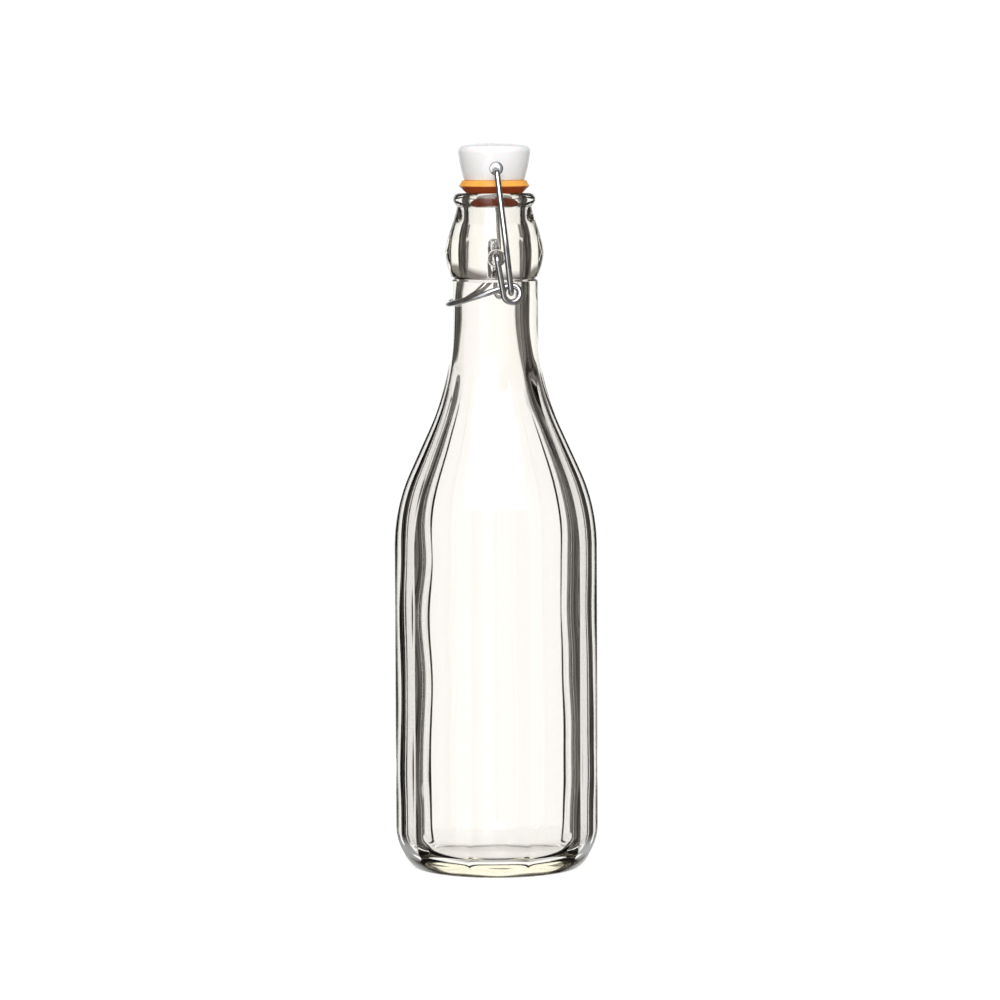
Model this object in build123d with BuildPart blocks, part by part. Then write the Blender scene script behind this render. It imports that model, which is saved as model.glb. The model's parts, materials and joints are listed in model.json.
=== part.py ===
from build123d import *
import os
from math import acos, asin, atan2, cos, degrees, radians, sin, sqrt, tan

# Half-litre swing-top bottle: a ten-sided clear glass bottle, a white stopper with a rubber
# gasket, a lever wire that pivots in two dimples of the neck, and a bail wire that joins the
# lever's eyes to the stopper. Frame: +Z up, origin at the centre of the base. The closure's
# hinge axes run along Y, and the lever's handle lies on the -X side. Closed is the rest pose.
# Units: mm.

# --- Bottle: body and shoulder ---
FACETS = 10
BODY_R = 37.2                # over the rounded edges between the facets
FACET_R = 35.6               # from the axis to the middle of a facet
SHOULDER_Z = 117.6           # the straight body ends here
SHOULDER_LEAN = 23.5         # degrees from upright, at the steepest
SHOULDER_BEND_R = 72.0       # radius of the shoulder's convex stretch
NECK_BEND_R = 73.0           # radius of the concave stretch that runs into the neck
NECK_R = 15.85
FACET_FADE = 0.6             # the facets' surfaces pass this far outside the neck, so they run out
HEEL_Z = 15.0                # the heel's rounding starts here
HEEL_BEND_R = 19.5           # radius of the heel's long upper arc
HEEL_TURN_R = 4.0            # radius of its lower arc, which ends on the bearing ring
BEARING_INNER_R = 24.5       # the bottle stands on the ring outside this radius
PUNT_H = 2.6                 # rise of the push-up inside the bearing ring

# --- Bottle: inside ---
CAVITY_R = 34.0
NECK_BORE_R = 10.4
MOUTH_BORE_R = 8.6
MOUTH_BORE_Z = (229.0, 236.0)    # the neck's bore narrows to the mouth's between these
SEAT_R, SEAT_Z = 10.6, 245.4     # the conical seat for the gasket: radius at the top, lower edge
FLOOR_Z = (7.8, 6.0)             # floor height on the axis and beside the inner heel
INNER_HEEL_R = 10.0

# --- Bottle: finish, the moulded top that carries the closure ---
FINISH_Z = 214.8             # the neck ends here, in a narrow groove under the finish
GROOVE_R = 15.35
FOOT_Z = 216.2
BULGE_R, BULGE_Z = 17.95, 226.2
CONE = ((16.4, 233.0), (14.7, 238.2), (13.7, 241.9))
LIP_R, LIP_BEAD_R = 15.05, 2.4
MOUTH_Z = 247.3

# --- Wires and their hinge axes, as (x, z) in the closed pose ---
WIRE_R = 1.1
PIVOT = (0.0, 224.7)         # lever in the neck's dimples
HOOK = (5.1, 211.5)          # bail in the lever's eyes
CROSSBAR = (0.3, 255.5)      # bail in the stopper
DIMPLE = (0.1, 223.95)       # centre of the dimples, below the lever's ends
DIMPLE_R = (2.95, 2.45)      # at the surface and at the bottom
DIMPLE_DEPTH_Y = 13.4        # the dimples end at this distance from the bottle's axis
PIVOT_TIP_Y = 14.6           # the lever's ends stop here, inside the dimples
HANDLE_Y = 17.35             # plane of the handle's arms, and the centreline radius of its bow
ARM_Y = 19.8                 # plane of the arms between the dimples and the eyes
LEG_Y = 22.25                # plane of the bail's legs beside the eyes
HOOK_TIP_Y = 16.3            # the bail's hooked ends stop here
EYE = (5.4, 211.15)          # centre of the eyes
EYE_R = 3.0                  # centreline radius of the eyes
EYE_CORNERS = 6
HANDLE_LEAN = 18.5           # degrees below level
HANDLE_BOW_X = -0.85         # the handle's arms end here, in its half-round bow
LEG_BEND = 17.5              # the bail's legs lean inwards from this distance above the hooks
LEG_TOP_Y = 15.3             # the bail turns into the stopper here
ELBOW_R = 1.9                # bend radius of the wires' tight elbows
LEG_BEND_R = 25.0

# --- Stopper and gasket ---
STOPPER_HOLE = (0.3, 256.2)  # the crossbar sits low in the hole, because it pulls the stopper down
STOPPER_HOLE_R = 2.15
HEAD_FOOT = (11.0, 251.9)
HEAD_SIDE_MID = (12.35, 257.0)
HEAD_EDGE = (13.45, 263.1)
HEAD_TOP_Z = 265.4
HEAD_EDGE_R = 1.6
STEM_R = 5.2
PLUG_R, PLUG_Z, PLUG_BOTTOM_Z = 6.6, 244.3, 242.2
PLUG_EDGE_R = 0.8
GASKET_RIM = (13.0, 249.8)
GASKET_RIM_R = 0.3
GASKET_TOP_R = 11.65
GASKET_MOUTH_R = 10.3        # the sealing cone crosses the height of the mouth here
GASKET_TIP_R = 7.2
FIT_GAP = 0.05               # clearance between the gasket and the stopper

os.makedirs("parts", exist_ok=True)


def finish_part(builder, name):
    """Labels a finished piece and writes its STEP file."""
    builder.part.label = name
    export_step(builder.part, f"parts/{name}.step")


def shoulder_points(body_r, neck_r):
    """Points of the S-shaped shoulder between two radii: its two tangent arcs and the line between."""
    lean = radians(SHOULDER_LEAN)
    bend_r = SHOULDER_BEND_R - (BODY_R - body_r)
    line_drop = body_r - neck_r - (bend_r + NECK_BEND_R) * (1 - cos(lean))
    low = (body_r - bend_r * (1 - cos(lean)), SHOULDER_Z + bend_r * sin(lean))
    high = (low[0] - line_drop, low[1] + line_drop / tan(lean))
    top = (neck_r, high[1] + NECK_BEND_R * sin(lean))
    low_mid = (body_r - bend_r * (1 - cos(lean / 2)), SHOULDER_Z + bend_r * sin(lean / 2))
    high_mid = (neck_r + NECK_BEND_R * (1 - cos(lean / 2)), top[1] - NECK_BEND_R * sin(lean / 2))
    return low_mid, low, high, high_mid, top


def shoulder_curve(body_r, neck_r, start_z):
    """Draws a straight side from start_z and the shoulder above it; returns the shoulder's top."""
    low_mid, low, high, high_mid, top = shoulder_points(body_r, neck_r)
    Line((body_r, start_z), (body_r, SHOULDER_Z))
    ThreePointArc((body_r, SHOULDER_Z), low_mid, low)
    Line(low, high)
    ThreePointArc(high, high_mid, top)
    return top


def heel_curve(body_r):
    """Draws the heel's two tangent arcs; returns the outer edge of the bearing ring."""
    centre_x = body_r - HEEL_BEND_R
    sweep_angle = asin((HEEL_Z - HEEL_TURN_R) / (HEEL_BEND_R - HEEL_TURN_R))
    turn = (centre_x + HEEL_BEND_R * cos(sweep_angle), HEEL_Z - HEEL_BEND_R * sin(sweep_angle))
    edge = (centre_x + (HEEL_BEND_R - HEEL_TURN_R) * cos(sweep_angle), 0)
    TangentArc((body_r, HEEL_Z), turn, tangent=(0, -1))
    TangentArc(turn, edge, tangent=(-sin(sweep_angle), -cos(sweep_angle)))
    return edge


def facet_plane(index):
    """Upright plane through the axis, square to facet number index."""
    angle = radians(180 / FACETS + index * 360 / FACETS)
    return Plane(origin=(0, 0, 0), x_dir=(cos(angle), sin(angle), 0), z_dir=(sin(angle), -cos(angle), 0))


# --- Bottle: a turned body, cut to ten facets that run out in the neck, and hollowed ---
with BuildPart() as bottle:
    with BuildSketch(Plane.XZ):
        with BuildLine():
            bearing_edge = heel_curve(BODY_R)
            shoulder_top = shoulder_curve(BODY_R, NECK_R, HEEL_Z)
            Line(shoulder_top, (NECK_R, FINISH_Z - 0.5))
            Polyline((NECK_R, FINISH_Z - 0.5), (GROOVE_R, FINISH_Z), (GROOVE_R, FOOT_Z - 0.4), (NECK_R, FOOT_Z))
            TangentArc((BULGE_R, BULGE_Z), (NECK_R, FOOT_Z), tangent=(0, -1))
            Spline((BULGE_R, BULGE_Z), *CONE, tangents=[(0, 1), (-0.15, 1)])
            bead_x, bead_z = LIP_R - LIP_BEAD_R, MOUTH_Z - LIP_BEAD_R
            bead_start = (bead_x + 1.1, bead_z - sqrt(LIP_BEAD_R**2 - 1.1**2))
            Line(CONE[-1], bead_start)
            ThreePointArc(bead_start, (LIP_R, bead_z), (bead_x, MOUTH_Z))
            Polyline((bead_x, MOUTH_Z), (0, MOUTH_Z), (0, PUNT_H))
            ThreePointArc((0, PUNT_H), (BEARING_INNER_R / 2, PUNT_H * 0.75), (BEARING_INNER_R, 0))
            Line((BEARING_INNER_R, 0), bearing_edge)
        make_face()
    revolve(axis=Axis.Z)
    for index in range(FACETS // 2):
        with BuildSketch(facet_plane(index)):
            with BuildLine():
                facet_foot = heel_curve(FACET_R)
                facet_top = shoulder_curve(FACET_R, NECK_R + FACET_FADE, HEEL_Z)
                Polyline(
                    facet_top,
                    (BULGE_R + 1, facet_top[1]),
                    (BULGE_R + 1, MOUTH_Z + 1),
                    (0, MOUTH_Z + 1),
                    (0, 0),
                    facet_foot,
                )
            make_face()
            mirror(about=Plane.YZ)
        extrude(amount=BODY_R + 1, both=True, mode=Mode.INTERSECT)
    with BuildSketch(Plane.XZ):
        with BuildLine():
            floor_edge = (CAVITY_R - INNER_HEEL_R, FLOOR_Z[1])
            Line((0, MOUTH_Z + 1), (0, FLOOR_Z[0]))
            TangentArc((0, FLOOR_Z[0]), floor_edge, tangent=(1, 0))
            heel_mid = INNER_HEEL_R * sin(radians(45))
            heel_centre = (CAVITY_R - INNER_HEEL_R, FLOOR_Z[1] + INNER_HEEL_R)
            ThreePointArc(
                floor_edge,
                (heel_centre[0] + heel_mid, heel_centre[1] - heel_mid),
                (CAVITY_R, heel_centre[1]),
            )
            bore_top = shoulder_curve(CAVITY_R, NECK_BORE_R, heel_centre[1])
            Polyline(
                bore_top,
                (NECK_BORE_R, MOUTH_BORE_Z[0]),
                (MOUTH_BORE_R, MOUTH_BORE_Z[1]),
                (MOUTH_BORE_R, SEAT_Z),
                (SEAT_R, MOUTH_Z),
                (SEAT_R, MOUTH_Z + 1),
                (0, MOUTH_Z + 1),
            )
        make_face()
    revolve(axis=Axis.Z, mode=Mode.SUBTRACT)
    for side in (-1, 1):
        dimple_mouth = Plane((DIMPLE[0], side * BULGE_R, DIMPLE[1]), x_dir=(1, 0, 0), z_dir=(0, -side, 0))
        with BuildSketch(dimple_mouth):
            Circle(DIMPLE_R[0])
        with BuildSketch(dimple_mouth.offset(BULGE_R - DIMPLE_DEPTH_Y)):
            Circle(DIMPLE_R[1])
        loft(mode=Mode.SUBTRACT)
finish_part(bottle, "glass_bottle")


# --- Stopper: a tapered head with a domed top, a stem through the gasket, and a retaining plug ---
with BuildPart() as stopper:
    with BuildSketch(Plane.XZ):
        with BuildLine():
            head_bottom = HEAD_FOOT[1]
            Line((0, HEAD_TOP_Z), (0, PLUG_BOTTOM_Z))
            Line((0, PLUG_BOTTOM_Z), (PLUG_R - PLUG_EDGE_R, PLUG_BOTTOM_Z))
            Line((PLUG_R - PLUG_EDGE_R, PLUG_BOTTOM_Z), (PLUG_R, PLUG_BOTTOM_Z + PLUG_EDGE_R))
            Polyline(
                (PLUG_R, PLUG_BOTTOM_Z + PLUG_EDGE_R),
                (PLUG_R, PLUG_Z),
                (STEM_R, PLUG_Z),
                (STEM_R, head_bottom),
                HEAD_FOOT,
            )
            ThreePointArc(HEAD_FOOT, HEAD_SIDE_MID, HEAD_EDGE)
            TangentArc((0, HEAD_TOP_Z), HEAD_EDGE, tangent=(1, 0))
        head = make_face()
        fillet(head.vertices().sort_by(Axis.X)[-1], radius=HEAD_EDGE_R)
    revolve(axis=Axis.Z)
    with BuildSketch(Plane.XZ):
        with Locations(STOPPER_HOLE):
            Circle(STOPPER_HOLE_R)
    extrude(amount=BODY_R, both=True, mode=Mode.SUBTRACT)
finish_part(stopper, "stopper")


# --- Gasket: a double cone on the stem, whose lower cone seals in the mouth ---
with BuildPart() as gasket:
    with BuildSketch(Plane.XZ):
        gasket_top = HEAD_FOOT[1] - FIT_GAP
        gasket_bottom = PLUG_Z + FIT_GAP
        with BuildLine():
            Polyline(
                (STEM_R + FIT_GAP, gasket_top),
                (GASKET_TOP_R, gasket_top),
                GASKET_RIM,
                (GASKET_MOUTH_R, MOUTH_Z),
                (GASKET_TIP_R, gasket_bottom),
                (STEM_R + FIT_GAP, gasket_bottom),
                close=True,
            )
        section = make_face()
        fillet(section.vertices().sort_by(Axis.X)[-1], radius=GASKET_RIM_R)
    revolve(axis=Axis.Z)
finish_part(gasket, "gasket")


def on_eye(angle, radius=EYE_R):
    """Point (x, z) at an angle round the eye, in degrees from +X towards +Z."""
    return (EYE[0] + radius * cos(radians(angle)), EYE[1] + radius * sin(radians(angle)))


def lever_half():
    """Corners and bend radii of half the lever wire, from its tip in a dimple to its handle's bow."""
    to_eye = Vector(EYE[0] - PIVOT[0], EYE[1] - PIVOT[1])
    entry = 180 + degrees(atan2(to_eye.Y, to_eye.X)) + degrees(acos(EYE_R / to_eye.length))
    leave = 360 + 90 + HANDLE_LEAN
    turn = (leave - entry) / EYE_CORNERS
    corners = [(PIVOT[0], -PIVOT_TIP_Y, PIVOT[1]), (PIVOT[0], -ARM_Y, PIVOT[1])]
    radii = [ELBOW_R]
    for index in range(EYE_CORNERS):
        x, z = on_eye(entry + (index + 0.5) * turn, EYE_R / cos(radians(turn / 2)))
        corners.append((x, -ARM_Y + (ARM_Y - HANDLE_Y) * index / (EYE_CORNERS - 1), z))
        radii.append(0.9 * EYE_R)
    return corners, radii


# --- Lever wire: dimple end, arm, eye and handle arm on each side, joined by a bow round the neck ---
corners, radii = lever_half()
handle_dir = Vector(-cos(radians(HANDLE_LEAN)), 0, -sin(radians(HANDLE_LEAN)))
eye_top = on_eye(90 + HANDLE_LEAN)
arm_length = (eye_top[0] - HANDLE_BOW_X) / cos(radians(HANDLE_LEAN))
bow_start = Vector(eye_top[0], -HANDLE_Y, eye_top[1]) + handle_dir * arm_length
bow_end = Vector(bow_start.X, HANDLE_Y, bow_start.Z)
with BuildPart() as lever_wire:
    with BuildLine() as lever_path:
        near_side = FilletPolyline(*corners, bow_start, radius=radii)
        mirror(near_side, about=Plane.XZ)
        TangentArc(bow_start, bow_end, tangent=handle_dir)
    with BuildSketch(Plane((PIVOT[0], -PIVOT_TIP_Y, PIVOT[1]), x_dir=(1, 0, 0), z_dir=(0, -1, 0))):
        Circle(WIRE_R)
    sweep(path=lever_path.wires()[0])
finish_part(lever_wire, "lever_wire")


# --- Bail wire: hooked end, leg and shoulder on each side, joined by the bar through the stopper ---
leg = Vector(CROSSBAR[0] - HOOK[0], 0, CROSSBAR[1] - HOOK[1]).normalized()
bend = Vector(HOOK[0], -LEG_Y, HOOK[1]) + leg * LEG_BEND
bail_points = [
    (HOOK[0], -HOOK_TIP_Y, HOOK[1]),
    (HOOK[0], -LEG_Y, HOOK[1]),
    tuple(bend),
    (CROSSBAR[0], -LEG_TOP_Y, CROSSBAR[1]),
    (CROSSBAR[0], 0, CROSSBAR[1]),
]
with BuildPart() as bail_wire:
    with BuildLine() as bail_path:
        near_leg = FilletPolyline(*bail_points, radius=[ELBOW_R, LEG_BEND_R, ELBOW_R])
        mirror(near_leg, about=Plane.XZ)
    with BuildSketch(Plane(bail_points[0], x_dir=(1, 0, 0), z_dir=(0, -1, 0))):
        Circle(WIRE_R)
    sweep(path=bail_path.wires()[0])
finish_part(bail_wire, "bail_wire")
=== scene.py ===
import json
from math import acos, asin, atan2, ceil, cos, degrees, hypot, pi, radians, sin, sqrt, tan

import bpy
import numpy as np
from mathutils import Matrix, Vector


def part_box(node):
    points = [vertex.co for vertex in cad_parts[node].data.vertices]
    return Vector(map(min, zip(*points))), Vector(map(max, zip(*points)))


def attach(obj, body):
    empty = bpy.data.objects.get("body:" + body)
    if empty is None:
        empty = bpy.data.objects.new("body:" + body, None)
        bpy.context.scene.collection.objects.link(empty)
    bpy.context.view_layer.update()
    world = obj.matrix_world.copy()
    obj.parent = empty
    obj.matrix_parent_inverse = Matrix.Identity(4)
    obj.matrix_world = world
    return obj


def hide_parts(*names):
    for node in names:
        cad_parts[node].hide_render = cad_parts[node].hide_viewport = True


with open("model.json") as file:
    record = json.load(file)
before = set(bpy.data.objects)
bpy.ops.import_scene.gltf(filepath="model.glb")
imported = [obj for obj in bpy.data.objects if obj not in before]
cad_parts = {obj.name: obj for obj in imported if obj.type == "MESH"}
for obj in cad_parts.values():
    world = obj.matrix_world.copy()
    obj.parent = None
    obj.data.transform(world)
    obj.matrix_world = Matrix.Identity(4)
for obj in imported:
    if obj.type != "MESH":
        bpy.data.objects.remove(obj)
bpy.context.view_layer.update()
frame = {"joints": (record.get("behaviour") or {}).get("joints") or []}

# A half-litre swing-top bottle. Shapes are worked out in millimetres, in the CAD model's frame
# (+Z up, origin at the centre of the base, the closure's hinge axes along Y), and meshes are
# made in metres. The places of the closure's parts come from the frame's joints and boxes.

MM = 0.001
glass_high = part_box("glass_bottle")[1] / MM
stopper_low, stopper_high = (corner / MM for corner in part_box("stopper"))
gasket_low, gasket_high = (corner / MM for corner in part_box("gasket"))
hinges = {joint["name"]: Vector(joint["pos_m"]) / MM for joint in frame["joints"]}

# --- Bottle ---
FACETS = 10
FACET_STEP = 360.0 / FACETS
BODY_R = glass_high.x        # over the rounded edges between the flats
FACET_R = glass_high.y - 0.2  # to the middle of a flat; leaves room in the box for FACET_TURN
EDGE_SOFTNESS = 0.18         # how far the facets' edges are rounded in
FACET_TURN = -1.2            # degrees between the mould's facets and the closure
SHOULDER_Z = 117.6           # the straight body ends here
SHOULDER_LEAN = radians(23.5)  # from upright, at the steepest
SHOULDER_BEND_R = 72.0       # radius of the convex stretch
NECK_BEND_R = 73.0           # radius of the concave stretch
NECK_R = 15.85
FACET_FADE = 0.6             # the flats pass this far outside the neck, so they run out
NO_FACETS = 2.0              # flats this far outside a ring leave it round
HEEL_Z = 15.0                # the heel's rounding starts here
HEEL_BEND_R = 19.5           # radius of its long upper arc
HEEL_TURN_R = 2.4            # radius of its lower arc
HEEL_FADE, HEEL_FADE_Z = 2.4, 6.0  # the flats run out below this height
BEARING_INNER_R = 24.5
BEARING_OUTER_R = 28.6
PUNT_H = 2.6                 # rise of the push-up inside the bearing ring
CAVITY_R = 33.6
NECK_BORE_R = 10.6
NECK_BORE_SHIFT = (-1.0, 1.3)  # x and y; the neck's bore is blown a little off centre
MOUTH_BORE_R = 9.7
MOUTH_BORE_Z = (229.0, 236.0)  # the neck's bore turns into the mouth's between these
SEAT_R, SEAT_Z = 10.6, 246.3  # the gasket's seat: radius at the top, and its lower edge
FLOOR_Z = (7.0, 5.2)         # on the axis, and beside the inner heel
INNER_HEEL_R = 8.5
FINISH_Z = 215.3             # the neck ends here, in a groove under the finish
GROOVE_R, GROOVE_Z = 14.9, 216.1
FOOT_Z = 216.9
BULGE_R, BULGE_Z = 17.95, 226.2
CONE = ((16.4, 233.0), (14.7, 238.2), (13.7, 241.9))
LIP_R, LIP_BEAD_R = 15.05, 2.4
MOUTH_Z = glass_high.z
DIMPLE = (0.1, 223.95)       # x and z of both dimples' centres
DIMPLE_R = 2.95
DIMPLE_LIP_DEPTH = 0.9
DIMPLE_BOTTOM_Y = 13.4
DIMPLE_MARGIN = 1.6          # how far the mesh is reshaped round a dimple

# --- Wires ---
WIRE_R = 1.1
PIVOT = hinges["lever_swing"]
HOOK = hinges["bail_hinge"]
CROSSBAR = hinges["stopper_hinge"]
PIVOT_TIP_Y = 14.6           # the lever's ends, inside the dimples
ARM_Y = 19.8                 # the lever's arms, from the dimples to the eyes
HANDLE_Y = 17.35             # the handle's arms, and the radius of its bow
LEG_Y = 22.25                # the bail's legs beside the eyes
HOOK_TIP_Y = 16.3            # the bail's hooked ends
EYE = (5.4, 211.15)          # centre of the lever's eyes, as x and z
EYE_R = 3.0
HANDLE_LEAN = radians(18.5)
HANDLE_BOW_X = -0.85         # the handle's arms run into its bow here
LEG_BEND = 17.5              # length of a leg's lower, straight part
LEG_TOP_Y = 15.3             # the bail's legs at the stopper
ELBOW_R = 1.9
LEG_BEND_R = 25.0

# --- Stopper and gasket ---
STOPPER_HOLE = (0.3, 256.2)
STOPPER_HOLE_R = 2.25
HEAD_FOOT = (11.0, 251.9)
HEAD_SIDE_MID = (12.35, 257.0)
HEAD_EDGE = (13.4, 264.15)
HEAD_TOP_Z = stopper_high.z
HEAD_EDGE_R = 2.2
STEM_R = 5.2
PLUG_R, PLUG_Z = 6.6, 244.3
PLUG_BOTTOM_Z = stopper_low.z
GASKET_RIM = (12.9, 249.8)
GASKET_TOP_R = 11.65
GASKET_MOUTH_R = 10.3
GASKET_TIP_R = 7.2
GASKET_HOLE_R = 5.25

# --- Studio ---
BACKDROP_HALF = radians(30)  # half the backdrop's angle, seen from the bottle
FLOOR_R = 0.13
CAMERA_AZIMUTH = radians(-2.3)
CAMERA_DISTANCE, CAMERA_HEIGHT = 1.82, 0.283
CAMERA_TARGET = (0.0016, 0.0, 0.135)
CAMERA_LENS = 179.6
CAMERA_ROLL = radians(-0.25)


# ---------------------------------------------------------------- curves and meshes

def arc(centre, radius, start, end, count):
    """Points (x, z) on an arc from one angle to another, both ends included, in degrees."""
    angles = np.radians(np.linspace(start, end, count))
    return [(centre[0] + radius * cos(a), centre[1] + radius * sin(a)) for a in angles]


def line(start, end, count):
    """Points (x, z) on a straight line, both ends included."""
    return [tuple(p) for p in np.linspace(start, end, count)]


def smooth_curve(points, start_slope, end_slope, count):
    """Points on a smooth curve through (x, z) points; slopes are dx/dz at the two ends."""
    knots = np.array(points, float)
    slopes = np.gradient(knots[:, 0], knots[:, 1])
    slopes[0], slopes[-1] = start_slope, end_slope
    result = []
    for z in np.linspace(knots[0, 1], knots[-1, 1], count):
        i = min(int(np.searchsorted(knots[:, 1], z, side="right")) - 1, len(knots) - 2)
        span = knots[i + 1, 1] - knots[i, 1]
        t = (z - knots[i, 1]) / span
        x = (
            knots[i, 0] * (1 + 2 * t) * (1 - t) ** 2
            + slopes[i] * span * t * (1 - t) ** 2
            + knots[i + 1, 0] * t * t * (3 - 2 * t)
            + slopes[i + 1] * span * t * t * (t - 1)
        )
        result.append((x, z))
    return result


def round_corner(before, corner, after, radius, count=5):
    """Points (x, z) of the arc that rounds a corner between two straight lines."""
    a, b, c = (np.array(p, float) for p in (before, corner, after))
    u, v = (a - b) / np.linalg.norm(a - b), (c - b) / np.linalg.norm(c - b)
    half = acos(float(np.clip(u @ v, -1, 1))) / 2
    start, end = b + u * radius / tan(half), b + v * radius / tan(half)
    centre = b + (u + v) / np.linalg.norm(u + v) * radius / sin(half)
    first = atan2(start[1] - centre[1], start[0] - centre[0])
    turn = atan2(end[1] - centre[1], end[0] - centre[0]) - first
    turn = (turn + pi) % (2 * pi) - pi
    return [
        (centre[0] + radius * cos(first + turn * k / (count - 1)),
         centre[1] + radius * sin(first + turn * k / (count - 1)))
        for k in range(count)
    ]


def add_piece(name, points, faces, material, body, node):
    """Makes a smooth-shaded mesh piece from points in millimetres; it stands for a CAD node."""
    mesh = bpy.data.meshes.new(name)
    mesh.from_pydata([tuple(c * MM for c in p) for p in points], [], faces)
    mesh.polygons.foreach_set("use_smooth", [True] * len(mesh.polygons))
    mesh.update()
    piece = bpy.data.objects.new(name, mesh)
    bpy.context.scene.collection.objects.link(piece)
    mesh.materials.append(material)
    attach(piece, body)
    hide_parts(node)
    return piece


class Turned:
    """A surface of rings round the Z axis, to which windows with holes can be added."""

    def __init__(self, rings, closed=False):
        """rings: one array (columns, 3) per ring, or a single point on the axis as (0, 0, z)."""
        self.points, self.faces, self.ring_ids = [], [], []
        self.columns = max(len(ring) for ring in rings if np.ndim(ring) == 2)
        for ring in rings:
            self.ring_ids.append(self.add(ring if np.ndim(ring) == 2 else [ring]))
        self.windows = set()
        self.closed = closed

    def add(self, points):
        """Adds points and returns their indices."""
        first = len(self.points)
        self.points.extend(tuple(float(c) for c in p) for p in points)
        return list(range(first, len(self.points)))

    def window(self, rows, columns):
        """Leaves out a block of faces; returns its border, anticlockwise seen from outside."""
        (r0, r1), (c0, c1) = rows, columns
        self.windows.update((r, c % self.columns) for r in range(r0, r1) for c in range(c0, c1))
        border = [(r0, c) for c in range(c0, c1)] + [(r, c1) for r in range(r0, r1)]
        border += [(r1, c) for c in range(c1, c0, -1)] + [(r, c0) for r in range(r1, r0, -1)]
        return [self.ring_ids[r][c % self.columns] for r, c in border]

    def bridge(self, outer, inner):
        """Joins two loops of the same length; the second lies inside the first."""
        count = len(outer)
        for i in range(count):
            j = (i + 1) % count
            self.faces.append((outer[i], outer[j], inner[j], inner[i]))

    def extend(self, loop, points):
        """Joins a loop to new points, one for each of its own, and returns the new loop."""
        inner = self.add(points)
        self.bridge(loop, inner)
        return inner

    def sink_rim(self, loop, ways, side, centre, surface_y, steps):
        """Rounds the rim of a hole; each step is its radius and depth below the surface."""
        for radius, depth in steps:
            ring = []
            for way in ways:
                x, z = np.array(centre) + way * radius
                ring.append((x, side * (surface_y(x, z) - depth), z))
            loop = self.extend(loop, ring)
        return loop

    def cap(self, loop, centre):
        """Closes a loop with a fan to one point."""
        (tip,) = self.add([centre])
        for i in range(len(loop)):
            self.faces.append((loop[i], loop[(i + 1) % len(loop)], tip))

    def build(self):
        """Adds the faces between the rings; returns the points that faces use, and the faces."""
        pairs = list(zip(self.ring_ids, self.ring_ids[1:]))
        if self.closed:
            pairs.append((self.ring_ids[-1], self.ring_ids[0]))
        for row, (low, high) in enumerate(pairs):
            for c in range(self.columns):
                d = (c + 1) % self.columns
                if (row, c) in self.windows:
                    continue
                if len(low) == 1:
                    self.faces.append((low[0], high[d], high[c]))
                elif len(high) == 1:
                    self.faces.append((low[c], low[d], high[0]))
                else:
                    self.faces.append((low[c], low[d], high[d], high[c]))
        used = sorted({i for face in self.faces for i in face})
        new_ids = {old: new for new, old in enumerate(used)}
        faces = [tuple(new_ids[i] for i in face) for face in self.faces]
        return [self.points[i] for i in used], faces


def flat_loop(centre, ways, radius, y):
    """Points of a round loop about centre (x, z) in a plane of constant y."""
    return [(centre[0] + way[0] * radius, y, centre[1] + way[1] * radius) for way in ways]


def polar_patch(surface, border, side, centre, surface_y, rim_r):
    """Fills a window up to a round rim about centre (x, z) on the given side of the Y axis.

    surface_y gives the distance from the Y = 0 plane for (x, z). Returns the rim's loop and the
    direction of each of its points from the centre, as (x, z) unit vectors."""
    middle = np.array(centre)
    flat = [np.array(surface.points[i])[[0, 2]] - middle for i in border]
    ways = [p / np.linalg.norm(p) for p in flat]
    loop = border
    for share in (0.3, 0.55, 0.78, 0.92, 1.0):
        ring = []
        for p, way in zip(flat, ways):
            x, z = middle + (1 - share) * p + share * way * rim_r
            ring.append((x, side * surface_y(x, z), z))
        loop = surface.extend(loop, ring)
    return loop, ways


# ---------------------------------------------------------------- bottle

def shoulder_radius(z, body_r, neck_r):
    """Radius of the S-shaped shoulder at a height: straight, convex arc, line, concave arc, neck."""
    bend_r = SHOULDER_BEND_R - (BODY_R - body_r)
    dip = 1 - cos(SHOULDER_LEAN)
    low_r, low_z = body_r - bend_r * dip, SHOULDER_Z + bend_r * sin(SHOULDER_LEAN)
    high_r = neck_r + NECK_BEND_R * dip
    high_z = low_z + (low_r - high_r) / tan(SHOULDER_LEAN)
    top_z = high_z + NECK_BEND_R * sin(SHOULDER_LEAN)
    if z <= SHOULDER_Z:
        return body_r
    if z <= low_z:
        return body_r - bend_r + sqrt(bend_r**2 - (z - SHOULDER_Z) ** 2)
    if z <= high_z:
        return low_r - (z - low_z) * tan(SHOULDER_LEAN)
    if z <= top_z:
        return neck_r + NECK_BEND_R - sqrt(NECK_BEND_R**2 - (top_z - z) ** 2)
    return neck_r


def facet_angles():
    """Angles round the bottle, closer together at the edges between the facets."""
    half = [0.0, 3.0, 6.0, 9.0, 11.5, 13.5, 15.0, 16.1, 16.9, 17.5]
    steps = sorted({-a for a in half} | set(half)) + [18.0]
    centres = [FACET_STEP / 2 + FACET_TURN + FACET_STEP * k for k in range(FACETS)]
    return np.radians([centre + step for centre in centres for step in steps])


def outer_ring(corner_r, flat_r, z, angles):
    """One ring of the outside: ten flats within a circle, their edges softly rounded."""
    from_flat = ((np.degrees(angles) - FACET_TURN) % FACET_STEP) - FACET_STEP / 2
    flats = flat_r / np.cos(np.radians(from_flat))
    gap = (flats - corner_r) / EDGE_SOFTNESS
    radius = flats - EDGE_SOFTNESS * np.logaddexp(0.0, gap)
    return np.column_stack([radius * np.cos(angles), radius * np.sin(angles), np.full_like(angles, z)])


def ease(value, start, end):
    """Goes smoothly from 0 at start to 1 at end."""
    t = min(1.0, max(0.0, (value - start) / (end - start)))
    return t * t * (3 - 2 * t)


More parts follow.
